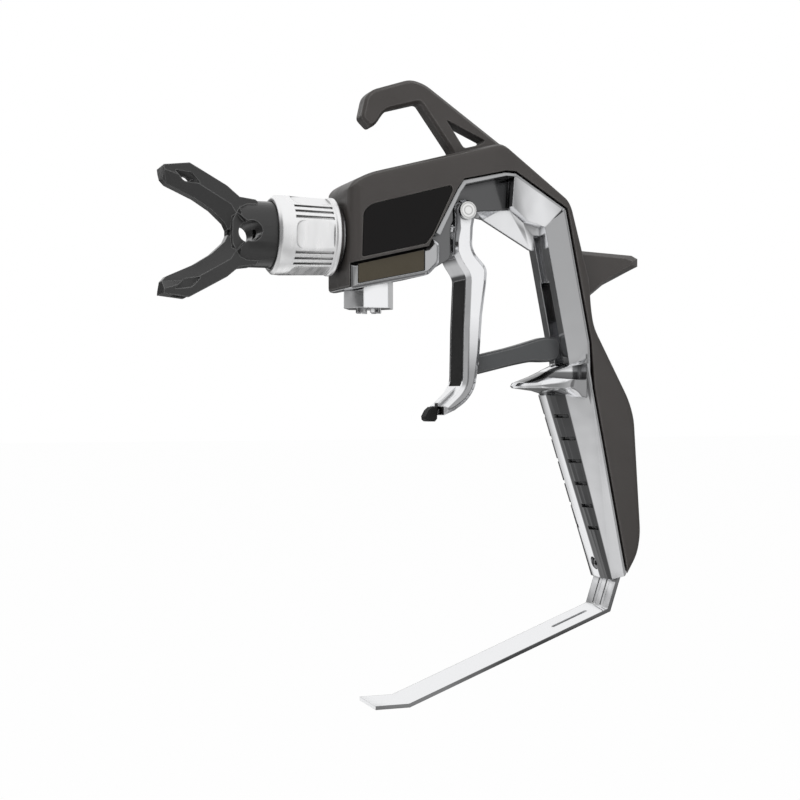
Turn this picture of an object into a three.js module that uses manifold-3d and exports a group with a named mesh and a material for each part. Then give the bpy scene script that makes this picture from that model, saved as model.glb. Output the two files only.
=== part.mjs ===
// Hand-held airless spray gun: a cast aluminium frame with a trigger window, a two-piece black
// casing with a hanging hook, a tip guard on a knurled nut, a two-finger trigger that draws
// the needle back, a swinging trigger lever lock and a flat guard strap under the grip.
// Millimetres. While it is drawn, x runs back from the front of the head, z up from the spray
// axis and y across the gun; the finished group is moved so that its origin is in the grip.
import * as THREE from 'three';
import { mergeVertices } from 'three/addons/utils/BufferGeometryUtils.js';
import Module from 'manifold-3d';

const wasm = await Module();
wasm.setup();

// ---- Driving dimensions -------------------------------------------------------------------
const GAP = 0.3;                // clearance kept between two seated pieces
const SPLIT_GAP = 0.3;          // joint between the two casing halves
const ROUND_STEPS = 5;          // steps in a rounded corner
const TURNED_STEPS = 48;        // facets round a turned piece
const PIN_STEPS = 20;           // facets round a pin, screw or small hole
const OUTSIDE = 260;            // further out than any piece, for cutters that run clear of it

// Head
const HEAD_DROP = 23;           // spray axis down to the front lower corner
const HEAD_RISE = 20.5;         // spray axis up to the front upper corner
const HEAD_LENGTH = 35;         // front face back to the lower rear corner
const BOTTOM_SLOPE = 0.21;      // rise of the head's underside per mm
const TOP_SLOPE = 0.268;        // rise of the head's top per mm
const CASING_WIDTH = 34;        // across the black casing
const CASING_BEVEL = 3;         // rounding along the casing's outer edges
const FRAME_WIDTH = 31.4;       // across the metal at the rim
const THROAT_WIDTH = 20;        // across the metal at the inside of the window
const BLOCK_WIDTH = 20;         // across the fluid block inside the head
const WEB_WIDTH = 9.6;          // across the lug that carries the trigger

// Spine, grip and their rake
const SPINE_RIM = 100.8;        // rim of the spine where it crosses the spray axis
const SPINE_RAKE = 0.2;         // x gained per mm downwards
const SPINE_BAND = 8;           // width of the sloping side face of the spine
const WINDOW_TOP = 28.4;        // upper edge of the trigger window
const WINDOW_FLOOR = -52;       // top of the finger shelf
const GRIP_RIM = 98.4;          // the grip's rim line carried up to the spray axis
const GRIP_BOTTOM = -144.7;     // lower end of the grip
const GRIP_FRONT_TOP = 101;     // front edge of the grip's side face under the shelf
const GRIP_FRONT_BOTTOM = 124;  // the same at the lower end
const GRIP_CROWN_TOP = 6.4;     // how far the grip's rounded front stands out at the top
const GRIP_CROWN_BOTTOM = 1.4;  // and at the bottom
const PALM_DEPTH = 18.8;        // casing behind the rim at the palm swell
const HEEL_DEPTH = 11.8;        // and near its lower end
const TONGUE = 3;               // depth of the frame's tongue inside the casing
const RIM_LAND = 0.8;           // flat edge of the metal along the rim
const SHELF_REACH = 80;         // tip of the finger shelf
const GRIP_NOTCHES = 6;
const NOTCH_PITCH = 9.9;
const NOTCH_WIDTH = 1.5;
const NOTCH_DEPTH = 1.2;

// Hook and spur of the casing
const HOOK_WIDTH = 9;
const HOOK_HEIGHT = 68;         // spray axis up to the top of the hook
const HOOK_TIP = 9.5;           // front of the hook's downturned tip
const SPUR_WIDTH = 15;
const SPUR_TIP = 140.5;
const NOSE_WALL = 1;            // casing in front of the metal of the head
const NOSE_ROUND = 6.5;         // rounding of the head's front corners, seen from above
const CHIN_ROUND = 4.6;         // and of its lower front corner, seen from the side
const PANEL_RECESS = 1.2;       // depth of the recess in each side of the head
const PANEL_THICKNESS = 0.8;
const LABEL_RECESS = 0.7;
const LABEL_THICKNESS = 0.4;

// Trigger
const PIVOT_X = 54.5;
const PIVOT_Z = 12.5;
const PIVOT_DIAMETER = 5;
const RUNNING_FIT = 0.1;        // radial clearance of a turning pin
const TRIGGER_WIDTH = 19.6;
const TRIGGER_FRONT = 54;       // front of the finger face
const TRIGGER_EAR = 4.4;        // thickness of each ear beside the lug
const TRIGGER_BEVEL = 1.8;
const PIVOT_HEAD = 7.4;
const PAD_WIDTH = 13;
const PAD_DEPTH = 1.3;
const PAD_BOTTOM = -62;
const LEVER_WIDTH = 7;
const LEVER_PIN_X = 59.6;
const LEVER_PIN_Z = -52.3;
const LEVER_PIN_DIAMETER = 3;

// Spray head
const CHAMBER_DIAMETER = 13;
const CHAMBER_LENGTH = 22;
const SPRING_BORE = 11;
const STEM_DIAMETER = 3.6;
const NUT_DIAMETER = 33;
const NUT_LENGTH = 27.5;
const NUT_STANDOFF = 1.5;       // nut to head
const NUT_FLATS = 5;
const NUT_FLAT = 11.6;          // width of each flat round the nut
const NUT_TURN = -0.25;         // radians by which the nut stands turned
const NUT_GROOVES = 3;          // grooves between two flats
const GUARD_BARREL = 27.3;
const GUARD_REACH = 74.4;       // head to the tips of the guard
const GUARD_MOUTH = 53;         // across the tips of the guard
const GUARD_WIDTH = 15;
const GUARD_BLADE = 6.4;        // width of the inner edge of each arm
const GUARD_WALL = 3.2;
const THROAT_X = -47.5;         // bottom of the guard's mouth
const TIP_BORE = 8.4;           // cross bore for the spray tip
const TIP_BORE_X = -39.8;
const NECK_DIAMETER = 22;
const FLANGE_DIAMETER = 26;

// Inlet and strap
const INLET_X = 13.9;
const INLET_FLATS = 19;         // across flats
const INLET_BOTTOM = -29.6;
const INLET_BORE = 7;
const SPIGOT_DIAMETER = 14;     // the fitting's stem inside the head
const COLLAR_DIAMETER = 10.8;   // castellated ring under the hexagon
const COLLAR_LUGS = 8;
const COLLAR_DROP = 1.8;
const STRAP_WIDTH = 21;
const STRAP_THICKNESS = 1.6;
const STRAP_SLOT = 2.6;
const STRAP_FOOT_Z = -196;
const STRAP_BEND_X = 28.5;
const STRAP_FOOT_LENGTH = 15;
const STRAP_HEEL_X = 122.3;
const STRAP_HEEL_Z = -160.6;
const STRAP_TAB = 23;           // length of the upright tab, partly inside the grip
const STRAP_TAB_LEAN = 18.5;    // degrees from upright
const SCREW_HEAD = 5;
const SCREW_SHANK = 2.8;

// Where the hand closes round the grip: the origin of the finished gun
const HAND_X = 114;
const HAND_Z = -100;

// ---- Solids -------------------------------------------------------------------------------
function toSolid(geometry) {
  const plain = geometry.clone();
  plain.deleteAttribute('normal');
  plain.deleteAttribute('uv');
  const merged = mergeVertices(plain, 1e-4);
  const mesh = new wasm.Mesh({
    numProp: 3,
    vertProperties: new Float32Array(merged.attributes.position.array),
    triVerts: new Uint32Array(merged.index.array),
  });
  return new wasm.Manifold(mesh);
}

function toGeometry(solid) {
  const mesh = solid.getMesh();
  const geometry = new THREE.BufferGeometry();
  geometry.setAttribute('position', new THREE.BufferAttribute(mesh.vertProperties, 3));
  geometry.setIndex(new THREE.BufferAttribute(mesh.triVerts, 1));
  return geometry;
}

function join(...solids) {
  return solids.reduce((whole, next) => whole.add(next));
}

function cut(body, ...tools) {
  return tools.reduce((rest, tool) => rest.subtract(tool), body);
}

// An outline from corners [x, z, radius]; a radius rounds that corner.
function outline(corners) {
  const points = [];
  corners.forEach((corner, i) => {
    const here = new THREE.Vector2(corner[0], corner[1]);
    const radius = corner[2] ?? 0;
    if (!radius) {
      points.push(here);
      return;
    }
    const before = corners[(i + corners.length - 1) % corners.length];
    const after = corners[(i + 1) % corners.length];
    const back = new THREE.Vector2(before[0], before[1]).sub(here);
    const ahead = new THREE.Vector2(after[0], after[1]).sub(here);
    const reach = Math.min(radius, back.length() * 0.45, ahead.length() * 0.45);
    const start = here.clone().add(back.setLength(reach));
    const end = here.clone().add(ahead.setLength(reach));
    const arc = new THREE.QuadraticBezierCurve(start, here, end);
    points.push(...arc.getPoints(ROUND_STEPS));
  });
  return points;
}

// A plate: an outline in x and z, from y = from to y = to, its edges bevelled by `bevel`.
function plate(points, from, to, bevel = 0) {
  if (bevel > 0) {
    const edge = points.map((point) => [point.x, point.y]);
    const inner = insetRing(points, bevel, []);
    return loft([{ y: from, points: inner }, { y: from + bevel, points: edge },
      { y: to - bevel, points: edge }, { y: to, points: inner }]);
  }
  const geometry = new THREE.ExtrudeGeometry(new THREE.Shape(points), {
    depth: to - from,
    bevelEnabled: false,
  });
  geometry.rotateX(Math.PI / 2);
  geometry.translate(0, to, 0);
  return toSolid(geometry);
}

function platePair(points, near, far) {
  return join(plate(points, -far, -near), plate(points, near, far));
}

// A loft through rings of equally many [x, z] points, each at its own y, listed towards +y.
function loft(rings) {
  const count = rings[0].points.length;
  const flat = rings.map(({ points }) => points.map(([x, z]) => new THREE.Vector2(x, z)));
  const clockwise = THREE.ShapeUtils.isClockWise(flat[0]);
  const ordered = flat.map((points) => (clockwise ? points.toReversed() : points));
  const positions = ordered.flatMap((points, r) => points.flatMap(({ x, y }) => [x, rings[r].y, y]));
  const widest = ordered.reduce((best, points) => (
    THREE.ShapeUtils.area(points) > THREE.ShapeUtils.area(best) ? points : best));
  const capFaces = (points) => {
    const own = THREE.ShapeUtils.triangulateShape(points, []);
    const shape = own.length === count - 2 ? points : widest;
    return THREE.ShapeUtils.triangulateShape(shape, []).map(([a, b, c]) => {
      const turn = (shape[b].x - shape[a].x) * (shape[c].y - shape[a].y)
        - (shape[b].y - shape[a].y) * (shape[c].x - shape[a].x);
      return turn > 0 ? [a, b, c] : [a, c, b];
    });
  };
  const lastStart = (rings.length - 1) * count;
  const faces = [
    ...capFaces(ordered[0]).flat(),
    ...capFaces(ordered.at(-1)).flatMap(([a, b, c]) => [lastStart + c, lastStart + b, lastStart + a]),
  ];
  for (let r = 0; r < rings.length - 1; r += 1) {
    for (let i = 0; i < count; i += 1) {
      const a = r * count + i;
      const b = r * count + (i + 1) % count;
      faces.push(a, a + count, b + count, a, b + count, b);
    }
  }
  const geometry = new THREE.BufferGeometry();
  geometry.setAttribute('position', new THREE.Float32BufferAttribute(positions, 3));
  geometry.setIndex(faces);
  return toSolid(geometry);
}

// The same on both sides of the middle, from half rings listed outwards.
function mirroredLoft(halfRings) {
  const right = halfRings.map(({ y, points }) => ({ y, points }));
  const left = halfRings.filter(({ y }) => y > 0).map(({ y, points }) => ({ y: -y, points }));
  return loft([...left.reverse(), ...right]);
}

// Every point of a closed ring moved inwards, except those in `kept`.
function insetRing(points, amount, kept) {
  const inward = THREE.ShapeUtils.isClockWise(points) ? -1 : 1;
  return points.map((point, i) => {
    if (kept.some(([x, z]) => Math.hypot(point.x - x, point.y - z) < 0.01)) return [point.x, point.y];
    const before = points[(i + points.length - 1) % points.length];
    const after = points[(i + 1) % points.length];
    const arriving = point.clone().sub(before).normalize();
    const leaving = after.clone().sub(point).normalize();
    const along = arriving.clone().add(leaving).normalize();
    const reach = inward * amount / Math.max(0.5, along.dot(arriving));
    return [point.x - along.y * reach, point.y + along.x * reach];
  });
}

function turnedX(profile, steps = TURNED_STEPS) {
  const geometry = new THREE.LatheGeometry(profile.map(([r, x]) => new THREE.Vector2(r, x)), steps);
  geometry.rotateZ(-Math.PI / 2);
  return toSolid(geometry);
}

function rodX(diameter, from, to, z = 0, steps = PIN_STEPS) {
  const geometry = new THREE.CylinderGeometry(diameter / 2, diameter / 2, to - from, steps);
  geometry.rotateZ(Math.PI / 2);
  geometry.translate((from + to) / 2, 0, z);
  return toSolid(geometry);
}

function rodY(diameter, from, to, x, z, steps = PIN_STEPS) {
  const geometry = new THREE.CylinderGeometry(diameter / 2, diameter / 2, to - from, steps);
  geometry.translate(x, (from + to) / 2, z);
  return toSolid(geometry);
}

function rodZ(diameter, from, to, x, steps = PIN_STEPS) {
  const geometry = new THREE.CylinderGeometry(diameter / 2, diameter / 2, to - from, steps);
  geometry.rotateX(Math.PI / 2);
  geometry.translate(x, 0, (from + to) / 2);
  return toSolid(geometry);
}

function block(x0, x1, y0, y1, z0, z1) {
  const geometry = new THREE.BoxGeometry(x1 - x0, y1 - y0, z1 - z0);
  geometry.translate((x0 + x1) / 2, (y0 + y1) / 2, (z0 + z1) / 2);
  return toSolid(geometry);
}

// ---- Lines that several pieces share ---------------------------------------------------------
const frameHalf = FRAME_WIDTH / 2;
const throatHalf = THROAT_WIDTH / 2;
const casingHalf = CASING_WIDTH / 2;
const webHalf = WEB_WIDTH / 2;
const spineRim = (z) => SPINE_RIM - SPINE_RAKE * z;
const spineThroat = (z) => spineRim(z) - SPINE_BAND;
const gripRim = (z) => GRIP_RIM - SPINE_RAKE * z;
const headBottom = (x) => BOTTOM_SLOPE * x - HEAD_DROP;
const headTop = (x) => HEAD_RISE + 2.7 + TOP_SLOPE * x;
const apronTop = (x) => -12 + 0.235 * x;      // where the casing stops above the bare metal
const CORNER_Z = 14;                          // rim corner between the window's slope and spine
const SLOPE_X = 74.3;                         // where the window's top turns down to the spine
const JOG_Z = -50;                            // the rim steps forward here, under the window
const EXPOSED_REAR = 40.4;                    // back of the bare metal under the head

// The rim that the casing meets, from the front of the head round the window to the grip.
const rimLine = [
  [0, apronTop(0)],
  [HEAD_LENGTH - 0.4, apronTop(HEAD_LENGTH) - 0.1],
  [38.6, 1.7],
  [48.5, 20.2],
  [51.3, 24.1],
  [70.1, WINDOW_TOP],
  [SLOPE_X, WINDOW_TOP - 0.1],
  [spineRim(CORNER_Z), CORNER_Z],
  [spineRim(JOG_Z + 7), JOG_Z + 7],
  [gripRim(-63), -63],
  [gripRim(GRIP_BOTTOM), GRIP_BOTTOM],
];

// ---- Frame -----------------------------------------------------------------------------------
function makeFrame() {
  const rise = WINDOW_TOP - CORNER_Z;
  const gusset = mirroredLoft([
    { y: throatHalf, points: [[75.8, 15.4], [83.4, 9.2], [spineThroat(7) + 0.2, 7],
      [spineRim(9), 9], [spineRim(15) + 1.6, 15.6], [SLOPE_X + 2, WINDOW_TOP + 1.6], [76.5, WINDOW_TOP - 1]] },
    { y: frameHalf, points: [[SLOPE_X + 1, WINDOW_TOP - 0.7], [86, CORNER_Z + rise / 2],
      [spineRim(CORNER_Z) - 1, CORNER_Z + 0.6], [spineRim(CORNER_Z), CORNER_Z],
      [spineRim(CORNER_Z) + 0.3, CORNER_Z + 0.5], [SLOPE_X + 0.4, WINDOW_TOP + 0.4],
      [SLOPE_X, WINDOW_TOP]] },
  ]);
  const spine = mirroredLoft([
    { y: throatHalf, points: [[spineThroat(7.4), 7.4], [spineThroat(JOG_Z + 7), JOG_Z + 7],
      [spineThroat(WINDOW_FLOOR - 4), WINDOW_FLOOR - 4],
      [gripRim(WINDOW_FLOOR) + TONGUE, WINDOW_FLOOR - 4],
      [spineRim(JOG_Z + 7) + TONGUE, JOG_Z + 7], [spineRim(CORNER_Z) + TONGUE, CORNER_Z + 0.5]] },
    { y: frameHalf, points: [[spineRim(CORNER_Z), CORNER_Z], [spineRim(JOG_Z + 7), JOG_Z + 7],
      [gripRim(WINDOW_FLOOR - 4), WINDOW_FLOOR - 4],
      [gripRim(WINDOW_FLOOR - 4) + RIM_LAND, WINDOW_FLOOR - 4],
      [spineRim(JOG_Z + 7) + RIM_LAND, JOG_Z + 7],
      [spineRim(CORNER_Z) + RIM_LAND * 0.7, CORNER_Z + RIM_LAND * 0.5]] },
  ]);
  const gripRing = (y, crown, shift) => ({ y, points: [
    [spineThroat(WINDOW_FLOOR) - crown * 0.3 + shift, WINDOW_FLOOR],
    [GRIP_FRONT_TOP - crown * GRIP_CROWN_TOP + shift, -66],
    [GRIP_FRONT_BOTTOM - crown * GRIP_CROWN_BOTTOM + shift, GRIP_BOTTOM - 2.6],
    [gripRim(GRIP_BOTTOM) + 0.4, GRIP_BOTTOM - 1.5],
    [gripRim(GRIP_BOTTOM) + TONGUE - 1.6, GRIP_BOTTOM + 2.5],
    [gripRim(-66) + TONGUE, -66],
    [gripRim(WINDOW_FLOOR) + TONGUE, WINDOW_FLOOR]] });
  const crownRings = (shift) => [gripRing(0, 1, shift), gripRing(throatHalf * 0.3, 0.96, shift),
    gripRing(throatHalf * 0.58, 0.84, shift), gripRing(throatHalf * 0.8, 0.64, shift),
    gripRing(throatHalf, 0, shift)];
  const grip = mirroredLoft([
    ...crownRings(0),
    { y: frameHalf, points: [[gripRim(WINDOW_FLOOR), WINDOW_FLOOR], [gripRim(-66), -66],
      [gripRim(GRIP_BOTTOM) - 0.2, GRIP_BOTTOM - 0.6], [gripRim(GRIP_BOTTOM) + 0.2, GRIP_BOTTOM - 0.3],
      [gripRim(GRIP_BOTTOM) + RIM_LAND * 0.8, GRIP_BOTTOM + 0.6], [gripRim(-66) + RIM_LAND, -66],
      [gripRim(WINDOW_FLOOR) + RIM_LAND, WINDOW_FLOOR]] },
  ]);
  const shelfRing = (y) => {
    const tip = SHELF_REACH + 24 * (y / frameHalf) ** 2.2;
    const along = (share) => tip + (109 - tip) * share;
    return { y, points: [
      [tip, -62], [along(0.03), -60.6], [along(0.3), -57.8], [along(0.55), -54.6], [along(0.8), -51.6],
      [109, -49.6], [109, -67], [along(0.7), -66.6], [along(0.36), -64], [along(0.03), -62.8]] };
  };
  const shelf = mirroredLoft([0, 0.2, 0.4, 0.58, 0.74, 0.88, 0.97].map((share) => shelfRing(share * frameHalf)));
  const shelfPocket = outline([[91, -57.9, 0.8], [103, -53.4, 1.5], [108.8, -51.8, 1], [108.8, -59.4, 1],
    [101, -59, 3]]);
  const apron = plate(outline([
    [-4, apronTop(-4) - GAP], [HEAD_LENGTH - 0.4, apronTop(HEAD_LENGTH) - GAP],
    [37.6, -0.6], [EXPOSED_REAR, -2.4, 1.5], [EXPOSED_REAR, headBottom(HEAD_LENGTH) + 5, 2],
    [HEAD_LENGTH + 0.5, headBottom(HEAD_LENGTH), 1.5], [-4, headBottom(-4)]]),
  -frameHalf, frameHalf, 1.6).intersect(headPlan(frameHalf, 4)).intersect(headProfile());
  const fluidBlock = plate(outline([
    [1, -14], [1, 14], [30, 18], [40, 12.5], [48.2, 19], [48.2, 8], [47, 5], [47, -8, 2],
    [40.4, -12], [36, -14]]),
  -BLOCK_WIDTH / 2, BLOCK_WIDTH / 2);
  const roof = plate(outline([
    [36, 10], [46, 27.5], [70, WINDOW_TOP + TONGUE], [80, WINDOW_TOP + 2.4], [80, 20], [50, 20], [47, 9]]),
  -webHalf, webHalf);
  const lug = plate(outline([
    [44, 6], [44, 26], [60, 26], [80, 28], [80, 14.6], [61, 13.2],
    [PIVOT_X + 5, PIVOT_Z - 2.4, 2], [PIVOT_X + 2.4, PIVOT_Z - 5, 2], [PIVOT_X - 3, PIVOT_Z - 5, 2],
    [48.6, 6]]), -webHalf, webHalf);
  const vane = mirroredLoft([
    { y: 1, points: [[60.5, 11.2], [66, 10.2], [88.4, -2.2], [spineThroat(-2.6) + 2, -2.6],
      [97, 14], [80, 22], [60.5, 20]] },
    { y: webHalf, points: [[60.5, 13.4], [76, 16.2], [83.2, 9.6], [spineThroat(7.4) + 2, 7.4],
      [97, 14], [80, 22], [60.5, 20]] },
  ]);
  const rimStrip = platePair(outline([
    [40.3, 1], [49.6, 19.6], [52, 23], [70.3, WINDOW_TOP - 1], [75, WINDOW_TOP - 1],
    [75, WINDOW_TOP + 0.2], [70, WINDOW_TOP + 0.4], [50.8, 24.5], [48.1, 20.4], [38.4, 2]]),
  webHalf - 1, frameHalf);

  const slot = block(spineThroat(0) - 4, 110.2, -LEVER_WIDTH / 2 - 0.9, LEVER_WIDTH / 2 + 0.9,
    WINDOW_FLOOR + 0.2, -16);
  const spineGroove = plate(outline([
    [spineThroat(4) - 3, 4], [spineThroat(4) + 2.6, 4], [spineThroat(-40) + 2.6, -40],
    [spineThroat(-40) - 3, -40]]), -3.2, 3.2);
  const gripCore = mirroredLoft(crownRings(NOTCH_DEPTH));
  const notches = Array.from({ length: GRIP_NOTCHES }, (_, i) => {
    const z = -75 - i * NOTCH_PITCH;
    const from = z - NOTCH_WIDTH / 2;
    const to = z + NOTCH_WIDTH / 2;
    return cut(join(block(70, gripRim(z), -throatHalf + 0.5, -throatHalf * 0.46, from, to),
      block(70, gripRim(z), throatHalf * 0.46, throatHalf - 0.5, from, to)), gripCore);
  });
  const bores = [
    rodX(CHAMBER_DIAMETER, -1, CHAMBER_LENGTH),
    rodX(SPRING_BORE, CHAMBER_LENGTH - 1, 60),
    rodZ(SPIGOT_DIAMETER, headBottom(0) - 5, -12, INLET_X),
    rodZ(INLET_BORE, -15, 0, INLET_X),
    rodZ(inletCorners + 1.6, headBottom(0) - 8, -17.4, INLET_X, 24),
    rodY(PIVOT_DIAMETER + 2 * RUNNING_FIT, -30, 30, PIVOT_X, PIVOT_Z),
    strapScrewHole(),
  ];
  const body = join(gusset, spine, grip, shelf, apron, fluidBlock, roof, lug, vane, rimStrip);
  return cut(body, slot, spineGroove, ...notches, ...bores, makeStrap(GAP), labelRecess(),
    platePair(shelfPocket, 8.6, OUTSIDE),
    block(-OUTSIDE, NOSE_WALL + GAP, -OUTSIDE, OUTSIDE, -OUTSIDE, OUTSIDE), ...casingScrewPlaces.map((place) => screwClearance(place)));
}

// ---- Casing ----------------------------------------------------------------------------------
const hookOuter = [
  [HOOK_TIP + 4.2, HOOK_HEIGHT - 21.8, 1.5], [HOOK_TIP - 0.2, HOOK_HEIGHT - 17.6, 1.5],
  [HOOK_TIP + 1.8, HOOK_HEIGHT - 8.6, 2], [HOOK_TIP + 5, HOOK_HEIGHT - 5.6, 2],
  [31.5, HOOK_HEIGHT, 4], [38, HOOK_HEIGHT - 1.6, 4], [80, 38.2], [74, 34], [52.4, 32],
  [50.2, 38.6, 1.5], [35.6, HOOK_HEIGHT - 9.6, 1.5], [20, HOOK_HEIGHT - 14, 3],
  [HOOK_TIP + 6.6, HOOK_HEIGHT - 19.8, 2]];
const hookWindow = [[47.4, 51.8, 1], [66, 43.8, 1.4], [61.6, 41.6, 1], [55.6, 40, 1.5]];

function casingOutline() {
  const outer = [
    [0, HEAD_RISE, 5], [8.7, headTop(8.7), 6], [68.9, headTop(68.9), 4],
    [100.2, 18.6, 3], [102, 15, 3], [107, -3.6], [110.6, -17, 4], [111.2, -27, 6],
    [112.6, -36, 6], [gripRim(-67.6) + PALM_DEPTH * 0.95, -67.6, 9], [gripRim(-76) + PALM_DEPTH, -76, 9],
    [gripRim(-127) + HEEL_DEPTH, -127, 7], [gripRim(-136) + HEEL_DEPTH * 0.71, -136, 4],
    [gripRim(GRIP_BOTTOM) + 1.4, GRIP_BOTTOM - 0.2],
  ];
  return [...outer, ...rimLine.toReversed()];
}

function makeCasing(side) {
  const near = side * SPLIT_GAP / 2;
  const far = side * casingHalf;
  const half = block(-OUTSIDE, OUTSIDE, Math.min(near, far), Math.max(near, far), -OUTSIDE, OUTSIDE);
  const edge = outline(casingOutline());
  const shell = mirroredLoft([1, 0.293, 0].map((share, i) => ({
    y: casingHalf - share * CASING_BEVEL,
    points: insetRing(edge, [0, 0.293, 1][i] * CASING_BEVEL, rimLine),
  })));
  const bandFill = plate(outline(casingOutline()), -frameHalf + 1.4, frameHalf - 1.4);
  const hook = cut(plate(outline(hookOuter), -HOOK_WIDTH / 2, HOOK_WIDTH / 2, 1.2),
    plate(outline(hookWindow), -20, 20));
  const spur = mirroredLoft([
    { y: 0, points: [[104, -1.6], [SPUR_TIP - 3, -3], [SPUR_TIP, -4.4], [SPUR_TIP, -8.4],
      [SPUR_TIP - 5, -11], [122.2, -17.2], [114, -23.4], [109, -30], [104, -30]] },
    { y: SPUR_WIDTH / 2 - 2.5, points: [[104, -1.8], [SPUR_TIP - 4, -3.4], [SPUR_TIP - 1, -4.8],
      [SPUR_TIP - 1, -8.2], [SPUR_TIP - 6, -10.6], [121.8, -17], [113.6, -23.4], [109, -30], [104, -30]] },
    { y: SPUR_WIDTH / 2, points: [[104, -3.6], [SPUR_TIP - 8, -5], [SPUR_TIP - 5, -6],
      [SPUR_TIP - 5, -7.6], [SPUR_TIP - 9, -9.6], [121, -15.6], [113, -22], [108.4, -28], [104, -28]] },
  ]);
  const body = join(cut(join(shell, bandFill, hook, spur), frameClearance), makeNose())
    .intersect(headPlan(casingHalf + 0.2, NOSE_ROUND)).intersect(headProfile());
  const whole = cut(body, rodX(CHAMBER_DIAMETER + 1, -5, 5), panelRecess(side),
    makeStrap(GAP), strapScrewHole(), ...casingScrewPlaces.map((place) => screwClearance(place)));
  return whole.intersect(half);
}

// The wall that closes the casing in front of the metal of the head.
function makeNose() {
  const bottom = headBottom(0);
  const front = new THREE.Shape(outline([[-frameHalf, 16], [-frameHalf, bottom, 3.5], [frameHalf, bottom, 3.5],
    [frameHalf, 16]]));
  const geometry = new THREE.ExtrudeGeometry(front, { depth: NOSE_WALL, bevelEnabled: false });
  geometry.rotateX(Math.PI / 2);
  geometry.rotateZ(Math.PI / 2);
  return toSolid(geometry);
}

// The head seen from above: its front corners are rounded.
function headPlan(side, radius) {
  const geometry = new THREE.ExtrudeGeometry(new THREE.Shape(outline([
    [0, -side, radius], [OUTSIDE, -side], [OUTSIDE, side], [0, side, radius]])), {
    depth: 2 * OUTSIDE,
    bevelEnabled: false,
  });
  geometry.translate(0, 0, -OUTSIDE);
  return toSolid(geometry);
}

// The head seen from the side: its lower front corner is rounded.
function headProfile() {
  return plate(outline([[0, headBottom(0), CHIN_ROUND], [0, OUTSIDE], [OUTSIDE, OUTSIDE], [OUTSIDE, -OUTSIDE],
    [HEAD_LENGTH, -OUTSIDE], [HEAD_LENGTH - 2, headBottom(HEAD_LENGTH - 2) - 0.4],
    [CHIN_ROUND * 3, headBottom(CHIN_ROUND * 3) - 0.2]]), -OUTSIDE, OUTSIDE);
}

function panelOutline(inset) {
  return outline([[5.4 + inset, -9.4 + inset, 1], [33.6 - inset, -2.9 + inset, 1],
    [36.6 - inset, 1 + inset, 1.5], [45.6 - inset, 20 - inset, 1.5], [44.6 - inset, 22 - inset, 1],
    [9.6 + inset, 12.6 - inset, 2.5], [6 + inset, 9.4 - inset, 2.5]]);
}

function panelRecess(side) {
  const face = side * casingHalf;
  const floor = face - side * PANEL_RECESS;
  return plate(panelOutline(0), Math.min(face * 1.2, floor), Math.max(face * 1.2, floor));
}

function labelOutline(inset) {
  const front = 4 + inset;
  const rear = HEAD_LENGTH - 1.6 - inset;
  return outline([[front, headBottom(front) + 1.9 + inset, 0.6], [front, apronTop(front) - 0.9 - inset, 0.6],
    [rear, apronTop(rear) - 0.9 - inset, 0.6], [rear, headBottom(rear) + 1.9 + inset, 0.6]]);
}

function labelRecess() {
  return plate(labelOutline(0), -40, -frameHalf + LABEL_RECESS);
}

// ---- Casing screws, put in from the right-hand side --------------------------------------------
const casingScrewPlaces = [
  [16, headTop(16) - 6],
  [62, headTop(62) - 5.5],
  [89.2, 25.4],
  [gripRim(-74) + PALM_DEPTH * 0.45, -74],
  [gripRim(-118) + PALM_DEPTH * 0.3, -118],
];
const screwHeadSeat = casingHalf - 5.5;
const screwTip = -casingHalf + 6;

function screwClearance([x, z]) {
  return join(
    rodY(SCREW_HEAD + 0.6, screwHeadSeat, 40, x, z),
    rodY(SCREW_SHANK + 0.6, screwTip - 0.4, screwHeadSeat + 1, x, z));
}

function makeCasingScrew([x, z]) {
  const head = rodY(SCREW_HEAD, screwHeadSeat + GAP, screwHeadSeat + 2.6, x, z);
  const shank = rodY(SCREW_SHANK, screwTip, screwHeadSeat + 1, x, z);
  const socket = rodY(2.6, screwHeadSeat + 1.4, 40, x, z, 6);
  return cut(join(head, shank), socket);
}

// ---- Strap under the grip ----------------------------------------------------------------------
const lean = THREE.MathUtils.degToRad(STRAP_TAB_LEAN);

// The bent strip, drawn along its middle; `grow` makes the same shape larger as a cutter.
function strapOutline(grow) {
  const half = STRAP_THICKNESS / 2 + grow;
  const path = [
    new THREE.Vector2(STRAP_BEND_X - STRAP_FOOT_LENGTH, STRAP_FOOT_Z),
    new THREE.Vector2(STRAP_BEND_X, STRAP_FOOT_Z),
    new THREE.Vector2(STRAP_HEEL_X, STRAP_HEEL_Z),
    new THREE.Vector2(STRAP_HEEL_X + STRAP_TAB * Math.sin(lean), STRAP_HEEL_Z + STRAP_TAB * Math.cos(lean)),
  ];
  const side = (sign) => path.map((point, i) => {
    const before = path[Math.max(i - 1, 0)];
    const after = path[Math.min(i + 1, path.length - 1)];
    const inward = point.clone().sub(before).normalize();
    const outward = after.clone().sub(point).normalize();
    if (i === 0) inward.copy(outward);
    if (i === path.length - 1) outward.copy(inward);
    const bisector = inward.clone().add(outward).normalize();
    const normal = new THREE.Vector2(-bisector.y, bisector.x);
    const stretch = half / Math.max(0.3, normal.dot(new THREE.Vector2(-inward.y, inward.x)));
    return [point.x + normal.x * stretch * sign, point.y + normal.y * stretch * sign];
  });
  const ahead = new THREE.Vector2(Math.sin(lean), Math.cos(lean)).multiplyScalar(grow);
  const top = side(1);
  const bottom = side(-1);
  top[3] = [top[3][0] + ahead.x, top[3][1] + ahead.y];
  bottom[3] = [bottom[3][0] + ahead.x, bottom[3][1] + ahead.y];
  return [...bottom, ...top.toReversed()].map(([x, z]) => new THREE.Vector2(x, z));
}

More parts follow.
